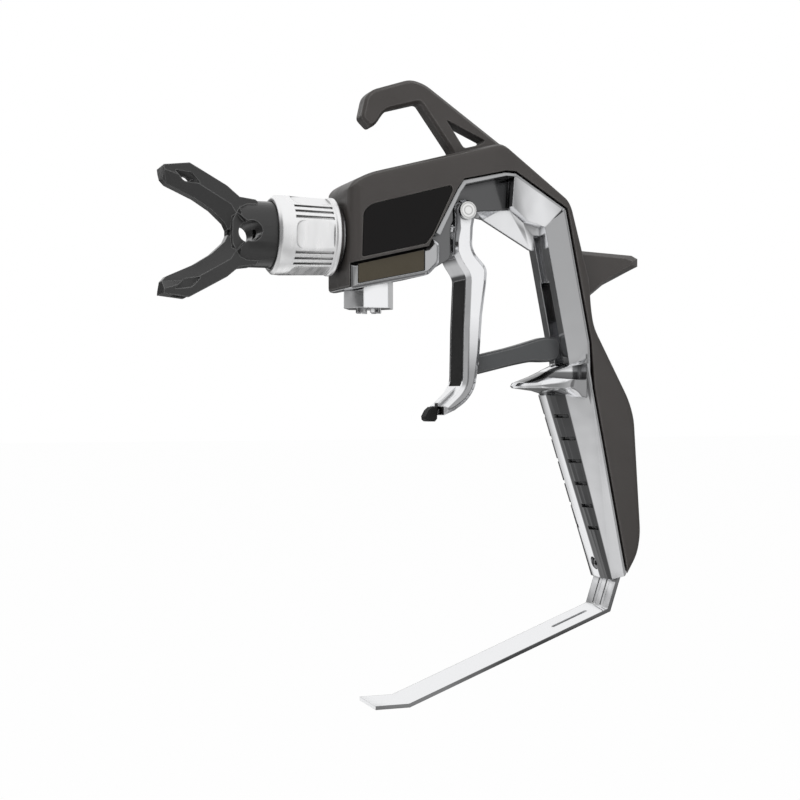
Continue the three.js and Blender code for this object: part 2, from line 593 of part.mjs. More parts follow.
function makeStrap(grow) {
  return plate(strapOutline(grow), -STRAP_WIDTH / 2 - grow, STRAP_WIDTH / 2 + grow);
}

function makeFinishedStrap() {
  const slope = Math.atan2(STRAP_HEEL_Z - STRAP_FOOT_Z, STRAP_HEEL_X - STRAP_BEND_X);
  const slot = new THREE.ExtrudeGeometry(new THREE.Shape(outline(
    [[-9, -1, 1], [9, -1, 1], [9, 1, 1], [-9, 1, 1]].map(([x, y, r]) => [x, y * STRAP_SLOT / 2, r]))),
  { depth: 12, bevelEnabled: false });
  slot.translate(0, 0, -6);
  slot.rotateY(-slope);
  slot.translate(STRAP_HEEL_X - 14, 0, STRAP_HEEL_Z - 14 * Math.tan(slope));
  const ribs = [-1, 1].map((sign) => {
    const groove = new THREE.BoxGeometry(0.8, 3, STRAP_TAB * 0.62);
    groove.translate(-STRAP_THICKNESS / 2 - 0.1, sign * STRAP_WIDTH / 6, STRAP_TAB * 0.36);
    groove.rotateY(lean);
    groove.translate(STRAP_HEEL_X, 0, STRAP_HEEL_Z);
    return toSolid(groove);
  });
  return cut(makeStrap(0), toSolid(slot), ...ribs, strapScrewHole());
}

const STRAP_SCREW_Z = STRAP_HEEL_Z + STRAP_TAB * 0.86;

function strapScrewHole() {
  return join(
    rodX(SCREW_HEAD + 0.6, 100, GRIP_FRONT_BOTTOM - 0.6, STRAP_SCREW_Z),
    rodX(SCREW_SHANK + 0.6, 110, STRAP_HEEL_X + 9.6, STRAP_SCREW_Z));
}

function makeStrapScrew() {
  const seat = GRIP_FRONT_BOTTOM - 0.6 - GAP;
  const head = rodX(SCREW_HEAD, seat - 1.8, seat, STRAP_SCREW_Z);
  const shank = rodX(SCREW_SHANK, seat - 0.5, STRAP_HEEL_X + 9.3, STRAP_SCREW_Z);
  const socket = rodX(2.6, seat - 5, seat - 1, STRAP_SCREW_Z, 6);
  return cut(join(head, shank), socket);
}

// ---- Inlet fitting -----------------------------------------------------------------------------
const inletCorners = INLET_FLATS / Math.cos(Math.PI / 6);

function makeInlet() {
  const hexagon = new THREE.CylinderGeometry(inletCorners / 2, inletCorners / 2, -18 - INLET_BOTTOM, 6);
  hexagon.rotateY(Math.PI / 6);
  hexagon.rotateX(Math.PI / 2);
  hexagon.translate(INLET_X, 0, (INLET_BOTTOM - 18) / 2);
  const spigot = rodZ(SPIGOT_DIAMETER - 2 * GAP, -19, -12 - GAP, INLET_X);
  const collar = rodZ(COLLAR_DIAMETER, INLET_BOTTOM - COLLAR_DROP, INLET_BOTTOM + 1, INLET_X, 32);
  const slots = Array.from({ length: COLLAR_LUGS / 2 }, (_, i) => {
    const slot = new THREE.BoxGeometry(COLLAR_DIAMETER + 4, 1.9, COLLAR_DROP * 2);
    slot.rotateZ((i + 0.5) * 2 * Math.PI / COLLAR_LUGS);
    slot.translate(INLET_X, 0, INLET_BOTTOM - COLLAR_DROP - 0.01);
    return toSolid(slot);
  });
  return cut(join(toSolid(hexagon), spigot, cut(collar, ...slots)), rodZ(INLET_BORE, -60, 0, INLET_X));
}

// ---- Spray head: adaptor, seat, needle, packing, spring, cap ------------------------------------
function makeAdaptor() {
  return turnedX([[2.6, -18], [NECK_DIAMETER / 2, -18], [NECK_DIAMETER / 2, -3.4],
    [FLANGE_DIAMETER / 2, -3.4], [FLANGE_DIAMETER / 2, -GAP], [CHAMBER_DIAMETER / 2 - GAP, -GAP],
    [CHAMBER_DIAMETER / 2 - GAP, 9], [4.5, 9], [4.5, 4], [2.6, 4], [2.6, -18]], 32);
}

function makeSeat() {
  return turnedX([[1.2, 4 + GAP], [4.5 - GAP, 4 + GAP], [4.5 - GAP, 8], [2.2, 8], [1.2, 6.4],
    [1.2, 4 + GAP]], 24);
}

function makeNeedle() {
  const r = STEM_DIAMETER / 2;
  return turnedX([[0, 7.2], [1.1, 7.5], [r, 8.6], [r, 26], [SPRING_BORE / 2 - 1, 26],
    [SPRING_BORE / 2 - 1, 28], [r, 28], [r, 57.6], [0, 57.6]], 20);
}

function makePacking() {
  return turnedX([[STEM_DIAMETER / 2 + GAP, 19], [CHAMBER_DIAMETER / 2 - GAP, 19],
    [CHAMBER_DIAMETER / 2 - GAP, CHAMBER_LENGTH - GAP], [STEM_DIAMETER / 2 + GAP, CHAMBER_LENGTH - GAP],
    [STEM_DIAMETER / 2 + GAP, 19]], 24);
}

const SPRING_TURNS = 5;
const SPRING_WIRE = 1.1;
const SPRING_START = 28.9;
const SPRING_END = 38.6;
const CAP_FRONT = 39.5;

function makeSpring() {
  class Coil extends THREE.Curve {
    getPoint(t, target = new THREE.Vector3()) {
      const turn = t * SPRING_TURNS * 2 * Math.PI;
      const radius = SPRING_BORE / 2 - SPRING_WIRE - 0.7;
      return target.set(SPRING_START + t * (SPRING_END - SPRING_START),
        radius * Math.cos(turn), radius * Math.sin(turn));
    }
  }
  const wire = new THREE.Shape(Array.from({ length: 5 }, (_, i) => new THREE.Vector2(
    SPRING_WIRE / 2 * Math.cos(i * 2 * Math.PI / 5), SPRING_WIRE / 2 * Math.sin(i * 2 * Math.PI / 5))));
  return toSolid(new THREE.ExtrudeGeometry(wire, { steps: SPRING_TURNS * 8, extrudePath: new Coil() }));
}

function makeSpringCap() {
  return turnedX([[STEM_DIAMETER / 2 + GAP, CAP_FRONT], [SPRING_BORE / 2 - GAP, CAP_FRONT],
    [SPRING_BORE / 2 - GAP, 47.6], [STEM_DIAMETER / 2 + GAP, 47.6], [STEM_DIAMETER / 2 + GAP, CAP_FRONT]], 24);
}

function makeNeedleNut() {
  return turnedX([[STEM_DIAMETER / 2 + GAP / 3, 54.5], [3.2, 54.5], [4.1, 55.3], [4.1, 58],
    [STEM_DIAMETER / 2 + GAP / 3, 58], [STEM_DIAMETER / 2 + GAP / 3, 54.5]], 12);
}

// ---- Retaining nut -------------------------------------------------------------------------------
const nutRear = -NUT_STANDOFF;
const nutFront = nutRear - NUT_LENGTH;
const nutRadius = NUT_DIAMETER / 2;
const FLANGE_X = nutFront + 3;             // front of the guard's flange, behind the nut's lip

function makeNut() {
  const inner = GUARD_BARREL / 2 + GAP;
  const waist = nutRadius - 0.6;
  const milledFrom = nutFront + 7;
  const milledTo = nutRear - 4.2;
  const body = turnedX([
    [inner, nutFront], [nutRadius - 1.4, nutFront], [nutRadius - 0.2, nutFront + 1.2],
    [nutRadius, nutFront + 4.5], [waist, milledTo + 0.8], [nutRadius - 0.2, milledTo + 1.2],
    [nutRadius - 0.2, nutRear - 1.6], [nutRadius - 1.8, nutRear],
    [NECK_DIAMETER / 2 + 2.2, nutRear], [NECK_DIAMETER / 2 + 2.2, -5.2], [NECK_DIAMETER / 2 + GAP, -5.2],
    [NECK_DIAMETER / 2 + GAP, FLANGE_X + 7], [nutRadius - 1.6, FLANGE_X + 7],
    [nutRadius - 1.6, FLANGE_X - GAP], [inner, FLANGE_X - GAP], [inner, nutFront]]);
  const milled = outline([[milledFrom, -NUT_FLAT / 2, 4], [milledTo, -NUT_FLAT / 2, 1], [milledTo, NUT_FLAT / 2, 1],
    [milledFrom, NUT_FLAT / 2, 4]]);
  const cutters = [];
  for (let i = 0; i < NUT_FLATS; i += 1) {
    const turn = (i + 0.5) * 2 * Math.PI / NUT_FLATS + NUT_TURN;
    const flat = new THREE.ExtrudeGeometry(new THREE.Shape(milled), { depth: 6, bevelEnabled: false });
    flat.translate(0, 0, Math.sqrt(waist ** 2 - (NUT_FLAT / 2) ** 2) + 0.35);
    flat.rotateX(turn);
    cutters.push(toSolid(flat));
    for (let k = 0; k < NUT_GROOVES; k += 1) {
      const spread = (k - (NUT_GROOVES - 1) / 2) * 0.17;
      const groove = new THREE.BoxGeometry(milledTo - milledFrom, 1.2, 2);
      groove.translate((milledTo + milledFrom) / 2, 0, nutRadius - 0.2);
      groove.rotateX(turn + Math.PI / NUT_FLATS + spread);
      cutters.push(toSolid(groove));
    }
  }
  return cut(body, ...cutters);
}

// ---- Tip guard ------------------------------------------------------------------------------------
function makeGuard() {
  const r = GUARD_BARREL / 2;
  const tip = GUARD_MOUTH / 2;
  const reach = -GUARD_REACH;
  const barrel = turnedX([[3, THROAT_X + 1], [r - 5, THROAT_X + 1], [r - 1.2, THROAT_X + 4], [r, THROAT_X + 7],
    [r, FLANGE_X - GAP * 2 + 0.6], [nutRadius - 1.6 - GAP, FLANGE_X - GAP * 2 + 0.6],
    [nutRadius - 1.6 - GAP, FLANGE_X + 3], [3, FLANGE_X + 3], [3, THROAT_X + 1]], 40);
  const outer = [[reach, tip - 0.9], [reach + 10.4, tip + 0.3], [reach + 17.5, tip - 3.6],
    [reach + 25.6, tip - 8.1], [reach + 30.8, tip - 12.4], [-37, r - 0.4], [-36, r - 1.2]];
  const blade = [[-36, 0.4], [THROAT_X, 1.1], [THROAT_X - 1.3, 3.9], [THROAT_X - 6.8, 9], [reach + 13.3, 13.3],
    [reach + 1.8, 18.5], [reach, 20.5]];
  const ridge = [[-36, 3], [THROAT_X + 4, 4.9], [THROAT_X + 3, 6.8], [THROAT_X + 0.4, 11], [THROAT_X - 7, 15.3],
    [reach + 11.2, 20.2], [reach + 0.2, 23.7]];
  const channel = [[reach + 5, tip + 5], [reach + 4, tip - 4], [reach + 10.4, tip - 3.8], [reach + 16.5, tip - 7.2],
    [reach + 24.4, tip - 11.6], [reach + 28, tip - 9], [reach + 31, tip + 5]];
  const window = outline([[reach + 4.4, tip - 2.8, 0.8], [reach + 11.4, tip - 3.6, 1.2],
    [reach + 15, tip - 7.8, 0.8], [reach + 8.4, tip - 7, 1.2]]);
  const flip = (points, sign) => points.map(([x, z]) => [x, sign * z]);
  const arms = [-1, 1].map((sign) => mirroredLoft([
    { y: GUARD_BLADE / 2, points: flip([...outer, ...blade], sign) },
    { y: GUARD_WIDTH / 2, points: flip([...outer, ...ridge], sign) }]));
  const channels = [-1, 1].map((sign) => plate(outline(flip(channel, sign)),
    -GUARD_WIDTH / 2 + GUARD_WALL, GUARD_WIDTH / 2 - GUARD_WALL));
  const lowerPocket = window.map((point) => new THREE.Vector2(point.x, -point.y));
  const windows = [plate(window, -OUTSIDE, OUTSIDE), platePair(lowerPocket, GUARD_WIDTH / 2 - 1.6, OUTSIDE)];
  const notch = platePair(outline([[THROAT_X - 12, 14], [THROAT_X + 0.4, 11, 2], [THROAT_X + 5, 4.6, 2],
    [THROAT_X + 9, 2.4, 2], [THROAT_X + 9, -2.4, 2], [THROAT_X + 5, -4.6, 2], [THROAT_X + 0.4, -11, 2],
    [THROAT_X - 12, -14]]), GUARD_WIDTH / 2, OUTSIDE);
  return cut(join(barrel, ...arms), ...channels, ...windows, notch,
    rodY(TIP_BORE, -OUTSIDE, OUTSIDE, TIP_BORE_X, 0, 24));
}

function makeTipSeal() {
  return turnedX([[3, FLANGE_X + 3 + GAP], [9, FLANGE_X + 3 + GAP], [9, -18 - GAP], [3, -18 - GAP],
    [3, FLANGE_X + 3 + GAP]], 24);
}

// ---- Trigger ---------------------------------------------------------------------------------------
const lipHalf = 2.5;                       // half width of the lip that the soft tip sits on

function triggerOutline() {
  const boss = Array.from({ length: 9 }, (_, i) => {
    const angle = THREE.MathUtils.degToRad(205 - i * 29);
    return [PIVOT_X + 5.1 * Math.cos(angle), PIVOT_Z + 5.1 * Math.sin(angle)];
  });
  return [
    ...boss, [58.2, 5.7], [57.9, -2, 2], [59.1, -5.3, 3], [64.9, -11.5, 2.5], [64.4, -18], [62.5, -31.7],
    [61.4, -47.5], [60.2, -57], [59.2, -63, 4], [55.4, -68.6, 4], [49.8, -72.4], [45, -74.5],
    [45, -70.6], [51.6, -64.6, 3], [TRIGGER_FRONT - 0.2, -60.4, 3], [TRIGGER_FRONT + 0.2, -38],
    [TRIGGER_FRONT + 1.2, -15.5, 2], [50.8, -9, 3], [49.2, -5.2, 1], [49.2, 0, 1], [50.2, 5]];
}

function padLine(depth) {
  const front = TRIGGER_FRONT + depth;
  return [[front + 1.2, -16.6], [front + 0.2, -38], [front - 0.2, PAD_BOTTOM]];
}

function makeTrigger() {
  const half = TRIGGER_WIDTH / 2;
  const inner = half - TRIGGER_EAR;
  const body = plate(outline(triggerOutline()), -half, half, TRIGGER_BEVEL);
  const lugGap = plate(outline([[40, 4], [70, 4], [70, 30], [40, 30]]), -inner, inner);
  const groove = plate([...padLine(PAD_DEPTH), ...padLine(-6).toReversed()]
    .map(([x, z]) => new THREE.Vector2(x, z)), -PAD_WIDTH / 2, PAD_WIDTH / 2);
  const channel = plate(outline([[58.4, -13.5, 1], [61, -16, 1], [59.2, -31], [56.6, -47, 1], [56.2, -59.4, 1],
    [70, -59.4], [70, -13.5]]), -inner, inner);
  const neckGap = plate(outline([[53.8, 10], [53.8, -6], [57, -9], [72, -9], [72, 10]]), -inner, inner);
  const lip = plate(outline([[55, -60.6], [51.2, -63.6, 1], [44.6, -69.2], [44.6, -72.6], [55, -66]]),
    -lipHalf, lipHalf, 0.5);
  const stub = block(42, 47, -lipHalf + 0.9, lipHalf - 0.9, -73.6, -72.1);
  return cut(join(body, lip, stub), lugGap, groove, channel, neckGap,
    rodX(STEM_DIAMETER + 2.4, 40, 60), plate(outline([[40, -8], [50.2, -8], [50.2, 8], [40, 8]]), -inner, inner),
    rodY(PIVOT_DIAMETER + 2 * RUNNING_FIT, -30, 30, PIVOT_X, PIVOT_Z),
    rodY(LEVER_PIN_DIAMETER + 2 * RUNNING_FIT, -half + 1.6, 30, LEVER_PIN_X, LEVER_PIN_Z));
}

function makePad() {
  const half = PAD_WIDTH / 2 - GAP;
  return plate([...padLine(PAD_DEPTH - GAP), ...padLine(-0.1).toReversed()]
    .map(([x, z]) => new THREE.Vector2(x, z)), -half, half);
}

// The soft end of the trigger's lip, pushed on a stub of the casting.
function makeTriggerTip() {
  const cap = plate(outline([[44.2, -70.7], [41.6, -71], [40, -72.4], [38.6, -75], [38.8, -76.4],
    [39.8, -77.2], [43, -77.2], [44, -76]]), -lipHalf - 0.6, lipHalf + 0.6, 0.5);
  return cut(cap, block(42 - GAP, 50, -lipHalf + 0.9 - GAP, lipHalf - 0.9 + GAP, -73.6 - GAP, -72.1 + GAP));
}

// ---- Trigger lock lever ------------------------------------------------------------------------------
function makeLever() {
  const bar = plate(outline([[57, LEVER_PIN_Z - 1.3, 1.5], [59.6, -55.2, 1.5], [62.4, -57, 0.8], [79.4, -52.9, 4],
    [87.8, -51.3, 3], [97, -51.4, 3], [101.8, -49.6, 3], [102.2, -44.4, 3], [100.4, -40.4, 2],
    [94.1, -40.4, 2], [78.8, -44.9, 4], [64.6, -48.2, 1], [60, -49.4, 2], [57, LEVER_PIN_Z + 1.3, 1.5]]),
  -LEVER_WIDTH / 2, LEVER_WIDTH / 2, 0.8);
  return cut(bar, rodY(LEVER_PIN_DIAMETER + 2 * RUNNING_FIT, -20, 20, LEVER_PIN_X, LEVER_PIN_Z));
}

// ---- Assembly ---------------------------------------------------------------------------------------
const finishes = {
  chrome: { color: 0xc9cbcf, roughness: 0.16, metalness: 1 },
  satin: { color: 0xd8d9db, roughness: 0.35, metalness: 1 },
  steel: { color: 0xa9abae, roughness: 0.3, metalness: 1 },
  blackPlastic: { color: 0x2b2928, roughness: 0.5, metalness: 0 },
  glossBlack: { color: 0x141312, roughness: 0.12, metalness: 0 },
  olive: { color: 0x3a3526, roughness: 0.6, metalness: 0 },
  greyLever: { color: 0x4a4c4e, roughness: 0.45, metalness: 0.3 },
  rubber: { color: 0x1b1a19, roughness: 0.8, metalness: 0 },
  white: { color: 0xe8e6df, roughness: 0.5, metalness: 0 },
};

const gun = new THREE.Group();
gun.position.set(-HAND_X, 0, -HAND_Z);

function addPiece(name, solid, finish) {
  const mesh = new THREE.Mesh(toGeometry(solid), new THREE.MeshStandardMaterial(finishes[finish]));
  mesh.name = name;
  gun.add(mesh);
}

// The space that the frame takes inside the casing, with the casing's clearance round it.
const frameClearance = makeFrameClearance();

function makeFrameClearance() {
  const head = outline([
    [-5, apronTop(0) - 30], [-5, 14 + GAP], [1, 14 + GAP], [30, 18 + GAP], [36, 21], [46, 28],
    [70, WINDOW_TOP + TONGUE + GAP], [80 + GAP, WINDOW_TOP + 2.8], [80 + GAP, apronTop(0) - 30]]);
  const far = [[-5, -60], [-5, apronTop(-5)], rimLine[1], [gripRim(GRIP_BOTTOM) + RIM_LAND, GRIP_BOTTOM - 6],
    [60, GRIP_BOTTOM - 6], [60, -60]];
  const ring = [...far.slice(0, 3), ...rimLine.slice(2), ...far.slice(3)]
    .map(([x, z]) => new THREE.Vector2(x, z));
  const side = (y, depth) => ({ y, points: insetRing(ring, -depth, far) });
  return join(
    plate(head, -BLOCK_WIDTH / 2 - GAP, BLOCK_WIDTH / 2 + GAP),
    mirroredLoft([side(throatHalf + GAP, TONGUE + GAP), side(frameHalf + GAP, RIM_LAND + GAP),
      side(40, RIM_LAND + GAP)]));
}

addPiece('frame', makeFrame(), 'chrome');
addPiece('casing_left', makeCasing(-1), 'blackPlastic');
addPiece('casing_right', makeCasing(1), 'blackPlastic');
casingScrewPlaces.forEach((place, i) => addPiece(`casing_screw_${i + 1}`, makeCasingScrew(place), 'steel'));
addPiece('side_panel', plate(panelOutline(GAP),
  -casingHalf + PANEL_RECESS - GAP / 3 - PANEL_THICKNESS, -casingHalf + PANEL_RECESS - GAP / 3), 'glossBlack');
addPiece('label_plate', plate(labelOutline(GAP),
  -frameHalf + LABEL_RECESS - GAP / 3 - LABEL_THICKNESS, -frameHalf + LABEL_RECESS - GAP / 3), 'olive');
addPiece('tip_guard', makeGuard(), 'blackPlastic');
addPiece('retaining_nut', makeNut(), 'satin');
addPiece('tip_seal', makeTipSeal(), 'rubber');
addPiece('nozzle_adaptor', makeAdaptor(), 'steel');
addPiece('valve_seat', makeSeat(), 'steel');
addPiece('needle', makeNeedle(), 'steel');
addPiece('needle_nut', makeNeedleNut(), 'steel');
addPiece('needle_packing', makePacking(), 'white');
addPiece('needle_spring', makeSpring(), 'steel');
addPiece('spring_cap', makeSpringCap(), 'steel');
addPiece('inlet_fitting', makeInlet(), 'chrome');
addPiece('trigger', makeTrigger(), 'chrome');
addPiece('trigger_pad', makePad(), 'rubber');
addPiece('trigger_tip', makeTriggerTip(), 'rubber');
addPiece('trigger_screw', join(
  rodY(PIVOT_DIAMETER, -TRIGGER_WIDTH / 2 - 1, TRIGGER_WIDTH / 2 + 1.6, PIVOT_X, PIVOT_Z),
  rodY(PIVOT_HEAD, -TRIGGER_WIDTH / 2 - 2.4, -TRIGGER_WIDTH / 2 - GAP, PIVOT_X, PIVOT_Z, 24)), 'satin');
addPiece('trigger_screw_nut', cut(
  rodY(8.6, TRIGGER_WIDTH / 2 + GAP, TRIGGER_WIDTH / 2 + 3, PIVOT_X, PIVOT_Z, 6),
  rodY(PIVOT_DIAMETER + 2 * RUNNING_FIT, 0, 30, PIVOT_X, PIVOT_Z)), 'satin');
addPiece('lock_lever', makeLever(), 'greyLever');
addPiece('lock_lever_pin', rodY(LEVER_PIN_DIAMETER, -TRIGGER_WIDTH / 2 + 1.9, TRIGGER_WIDTH / 2 - 0.6,
  LEVER_PIN_X, LEVER_PIN_Z), 'steel');
addPiece('guard_strap', makeFinishedStrap(), 'chrome');
addPiece('strap_screw', makeStrapScrew(), 'steel');

export default gun;
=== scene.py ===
# A hand-held airless spray gun in a plain studio: the imported model gives every shape, and this
# script gives the finishes, the light and the view of the photograph.
import math

import bpy
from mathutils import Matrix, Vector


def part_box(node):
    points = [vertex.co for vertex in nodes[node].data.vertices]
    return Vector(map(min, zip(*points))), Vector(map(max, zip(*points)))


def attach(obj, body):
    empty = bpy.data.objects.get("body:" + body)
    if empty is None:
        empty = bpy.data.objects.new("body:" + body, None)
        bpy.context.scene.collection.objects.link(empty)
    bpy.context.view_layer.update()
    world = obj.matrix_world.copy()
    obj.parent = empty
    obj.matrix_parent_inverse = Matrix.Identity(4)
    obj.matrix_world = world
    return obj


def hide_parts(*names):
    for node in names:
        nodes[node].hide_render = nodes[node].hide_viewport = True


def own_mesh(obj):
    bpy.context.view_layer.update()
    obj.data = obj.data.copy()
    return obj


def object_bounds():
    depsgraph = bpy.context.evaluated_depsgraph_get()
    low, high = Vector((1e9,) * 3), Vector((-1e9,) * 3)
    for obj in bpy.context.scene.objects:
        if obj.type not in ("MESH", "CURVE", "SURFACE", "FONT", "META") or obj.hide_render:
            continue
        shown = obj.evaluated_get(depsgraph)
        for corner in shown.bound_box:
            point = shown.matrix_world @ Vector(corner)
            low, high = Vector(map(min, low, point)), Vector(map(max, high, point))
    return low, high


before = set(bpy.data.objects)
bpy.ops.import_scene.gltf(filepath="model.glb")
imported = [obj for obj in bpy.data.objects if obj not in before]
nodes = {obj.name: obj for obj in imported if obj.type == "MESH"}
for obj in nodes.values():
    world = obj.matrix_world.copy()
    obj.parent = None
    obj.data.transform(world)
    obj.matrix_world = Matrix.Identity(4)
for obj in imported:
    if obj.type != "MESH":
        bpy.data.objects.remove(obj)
cad_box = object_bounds()

# ---- Camera -----------------------------------------------------------------------------------
# The gun is seen from its left, a little from the front, with the lens level with the trigger.
camera_data = bpy.data.cameras.new("view")
camera_data.sensor_width = 36.0
camera_data.lens = 65.25
camera = bpy.data.objects.new("view", camera_data)
camera.location = (-0.2970, -0.5798, 0.0320)
camera.rotation_euler = (math.radians(90), 0, math.radians(-20))
bpy.context.scene.collection.objects.link(camera)
bpy.context.scene.camera = camera
bpy.context.scene.view_settings.view_transform = "Standard"


# ---- Studio walls -----------------------------------------------------------------------------
# Bright metal shows what stands round it, so the room has light cards and dark flags at set
# bearings and a soft light overhead. Looked at directly, the room is plain white.
def sum_of(tree, operation, first, second=0.0, third=0.0):
    """A Math node on sockets or plain numbers; returns its value."""
    node = tree.nodes.new("ShaderNodeMath")
    node.operation = operation
    for socket, term in zip(node.inputs, (first, second, third)):
        if isinstance(term, bpy.types.NodeSocket):
            tree.links.new(term, socket)
        else:
            socket.default_value = term
    return node.outputs[0]


def remap(tree, value, from_low, from_high, low, high):
    """Maps a value from one range to another and stops at both ends."""
    node = tree.nodes.new("ShaderNodeMapRange")
    for name, number in (("From Min", from_low), ("From Max", from_high),
                         ("To Min", low), ("To Max", high)):
        node.inputs[name].default_value = number
    tree.links.new(value, node.inputs["Value"])
    return node.outputs["Result"]


# Bearing as a share of the full circle, 0.5 toward the camera's side and 0.75 toward the nozzle,
# and how light the room is there: the walls with the far floor, and the floor close to the gun.
# They are set so that the tones that the metal mirrors come near those of the photograph.
WALLS = ((0.0, 0.1), (0.06, 0.1), (0.11, 0.45), (0.16, 0.8), (0.23, 0.8), (0.28, 0.3),
         (0.36, 0.3), (0.405, 0.85), (0.45, 1.0), (0.475, 0.8), (0.5, 0.6), (0.55, 0.25),
         (0.58, 0.22), (0.61, 0.42), (0.65, 0.42), (0.675, 0.5), (0.7, 0.26), (0.74, 0.1),
         (0.77, 0.1), (0.79, 0.5), (0.83, 0.9), (0.89, 0.9), (0.905, 0.1), (0.935, 0.06),
         (0.955, 0.06), (1.0, 0.1))
NEAR_FLOOR = ((0.0, 0.08), (0.1, 0.3), (0.3, 0.4), (0.4, 0.12), (0.445, 0.1), (0.475, 0.98),
              (0.505, 0.88), (0.53, 0.5), (0.555, 0.22), (0.57, 0.6), (0.59, 0.78), (0.74, 0.7),
              (0.78, 0.5), (0.85, 0.6), (0.905, 0.95), (0.975, 0.95), (0.99, 0.08))
CEILING = 0.95
SOFT_TOP = 0.25               # the overhead as matt surfaces see it
BACK_CARD_DEPTH = (0.74, 0.82)
BACK_CARD_LIFT = (0.15, 0.19)
CEILING_LIFT = (0.42, 0.6)
SOFT_TOP_LIFT = (0.1, 0.7)


def around_shade(tree, direction, shades):
    """How light the room is at the bearing of a direction."""
    split = tree.nodes.new("ShaderNodeSeparateXYZ")
    tree.links.new(direction, split.inputs[0])
    bearing = sum_of(tree, "ARCTAN2", sum_of(tree, "MULTIPLY", split.outputs["X"], -1.0),
                     sum_of(tree, "MULTIPLY", split.outputs["Y"], -1.0))
    node = tree.nodes.new("ShaderNodeValToRGB")
    ramp = node.color_ramp
    while len(ramp.elements) < len(shades):
        ramp.elements.new(1.0)
    for stop, (place, shade) in zip(ramp.elements, shades):
        stop.position = place
        stop.color = (shade, shade, shade, 1)
    tree.links.new(sum_of(tree, "MULTIPLY_ADD", bearing, 1 / (2 * math.pi), 0.5), node.inputs[0])
    return node.outputs["Color"], split


def blend(tree, share, first, second):
    """Mixes two grey values, sockets or numbers, by a share."""
    part = sum_of(tree, "SUBTRACT", 1.0, share)
    return sum_of(tree, "ADD", sum_of(tree, "MULTIPLY", first, part),
                  sum_of(tree, "MULTIPLY", second, share))


world = bpy.data.worlds.new("studio")
bpy.context.scene.world = world
world.use_nodes = True
sky = world.node_tree
background = sky.nodes["Background"]
bearings = sky.nodes.new("ShaderNodeTexCoord")
walls, split = around_shade(sky, bearings.outputs["Generated"], WALLS)
back_card = sum_of(sky, "MULTIPLY", remap(sky, split.outputs["Y"], *BACK_CARD_DEPTH, 0.0, 1.0),
                   remap(sky, split.outputs["Z"], *BACK_CARD_LIFT, 0.0, 1.0))
room = blend(sky, back_card, walls, CEILING)
room = blend(sky, remap(sky, split.outputs["Z"], *CEILING_LIFT, 0.0, 1.0), room, CEILING)
rays = sky.nodes.new("ShaderNodeLightPath")
matt = blend(sky, remap(sky, split.outputs["Z"], *SOFT_TOP_LIFT, 0.0, 1.0), walls, SOFT_TOP)
room = blend(sky, rays.outputs["Is Diffuse Ray"], room, matt)
sky.links.new(blend(sky, rays.outputs["Is Camera Ray"], room, 1.0), background.inputs["Color"])


# ---- White floor ------------------------------------------------------------------------------
# White paper lies under the gun. It mirrors in the metal as a light floor near the gun and as the
# foot of the walls farther out.
PAPER = (0.6, 0.6, 0.6)
PAPER_WHITENESS = 0.985       # the rest is paper that takes the gun's shadow
NEAR_FLOOR_END = (0.4, 1.1)
FLOOR_DROP = 0.06             # below the strap's foot
FLOOR_HALF = 6


def new_material(name):
    """A material with a Principled surface; returns it, its node tree and the shader."""
    material = bpy.data.materials.new(name)
    material.use_nodes = True
    tree = material.node_tree
    return material, tree, tree.nodes["Principled BSDF"]


def paper_material():
    """White paper that looks plain white but for the shade on it."""
    material, tree, shader = new_material("white_paper")
    shader.inputs["Base Color"].default_value = (*PAPER, 1)
    shader.inputs["Roughness"].default_value = 0.9
    place = tree.nodes.new("ShaderNodeTexCoord")
    far_shade, _ = around_shade(tree, place.outputs["Object"], WALLS)
    near_shade, _ = around_shade(tree, place.outputs["Object"], NEAR_FLOOR)
    length = tree.nodes.new("ShaderNodeVectorMath")
    length.operation = "LENGTH"
    tree.links.new(place.outputs["Object"], length.inputs[0])
    far = remap(tree, length.outputs["Value"], *NEAR_FLOOR_END, 0.0, 1.0)
    paths = tree.nodes.new("ShaderNodeLightPath")
    white = tree.nodes.new("ShaderNodeEmission")
    look = blend(tree, paths.outputs["Is Camera Ray"], blend(tree, far, near_shade, far_shade), 1.0)
    tree.links.new(look, white.inputs["Color"])
    either = sum_of(tree, "MAXIMUM", paths.outputs["Is Camera Ray"], paths.outputs["Is Glossy Ray"])
    mix = tree.nodes.new("ShaderNodeMixShader")
    tree.links.new(sum_of(tree, "MULTIPLY", either, PAPER_WHITENESS), mix.inputs[0])
    tree.links.new(shader.outputs[0], mix.inputs[1])
    tree.links.new(white.outputs[0], mix.inputs[2])
    tree.links.new(mix.outputs[0], tree.nodes["Material Output"].inputs["Surface"])
    return material


floor_mesh = bpy.data.meshes.new("floor")
floor_corners = [(x * FLOOR_HALF, y * FLOOR_HALF, 0)
                 for x, y in ((-1, -1), (1, -1), (1, 1), (-1, 1))]
floor_mesh.from_pydata(floor_corners, [], [(0, 1, 2, 3)])
floor = bpy.data.objects.new("floor", floor_mesh)
floor.location.z = cad_box[0][2] - FLOOR_DROP
floor_mesh.materials.append(paper_material())
bpy.context.scene.collection.objects.link(floor)


# ---- Soft lamps -------------------------------------------------------------------------------
# Three large soft boxes light the gun from above and from both sides. They are kept out of the
# mirror images, where the room's own cards stand for them.
def soft_lamp(name, place, size, watts):
    """A square soft box at a place, aimed at the middle of the gun."""
    lamp = bpy.data.lights.new(name, "AREA")
    lamp.shape = "SQUARE"
    lamp.size = size
    lamp.energy = watts
    holder = bpy.data.objects.new(name, lamp)
    holder.location = place
    aim = -holder.location
    holder.rotation_euler = aim.to_track_quat("-Z", "Y").to_euler()
    holder.visible_glossy = False
    bpy.context.scene.collection.objects.link(holder)


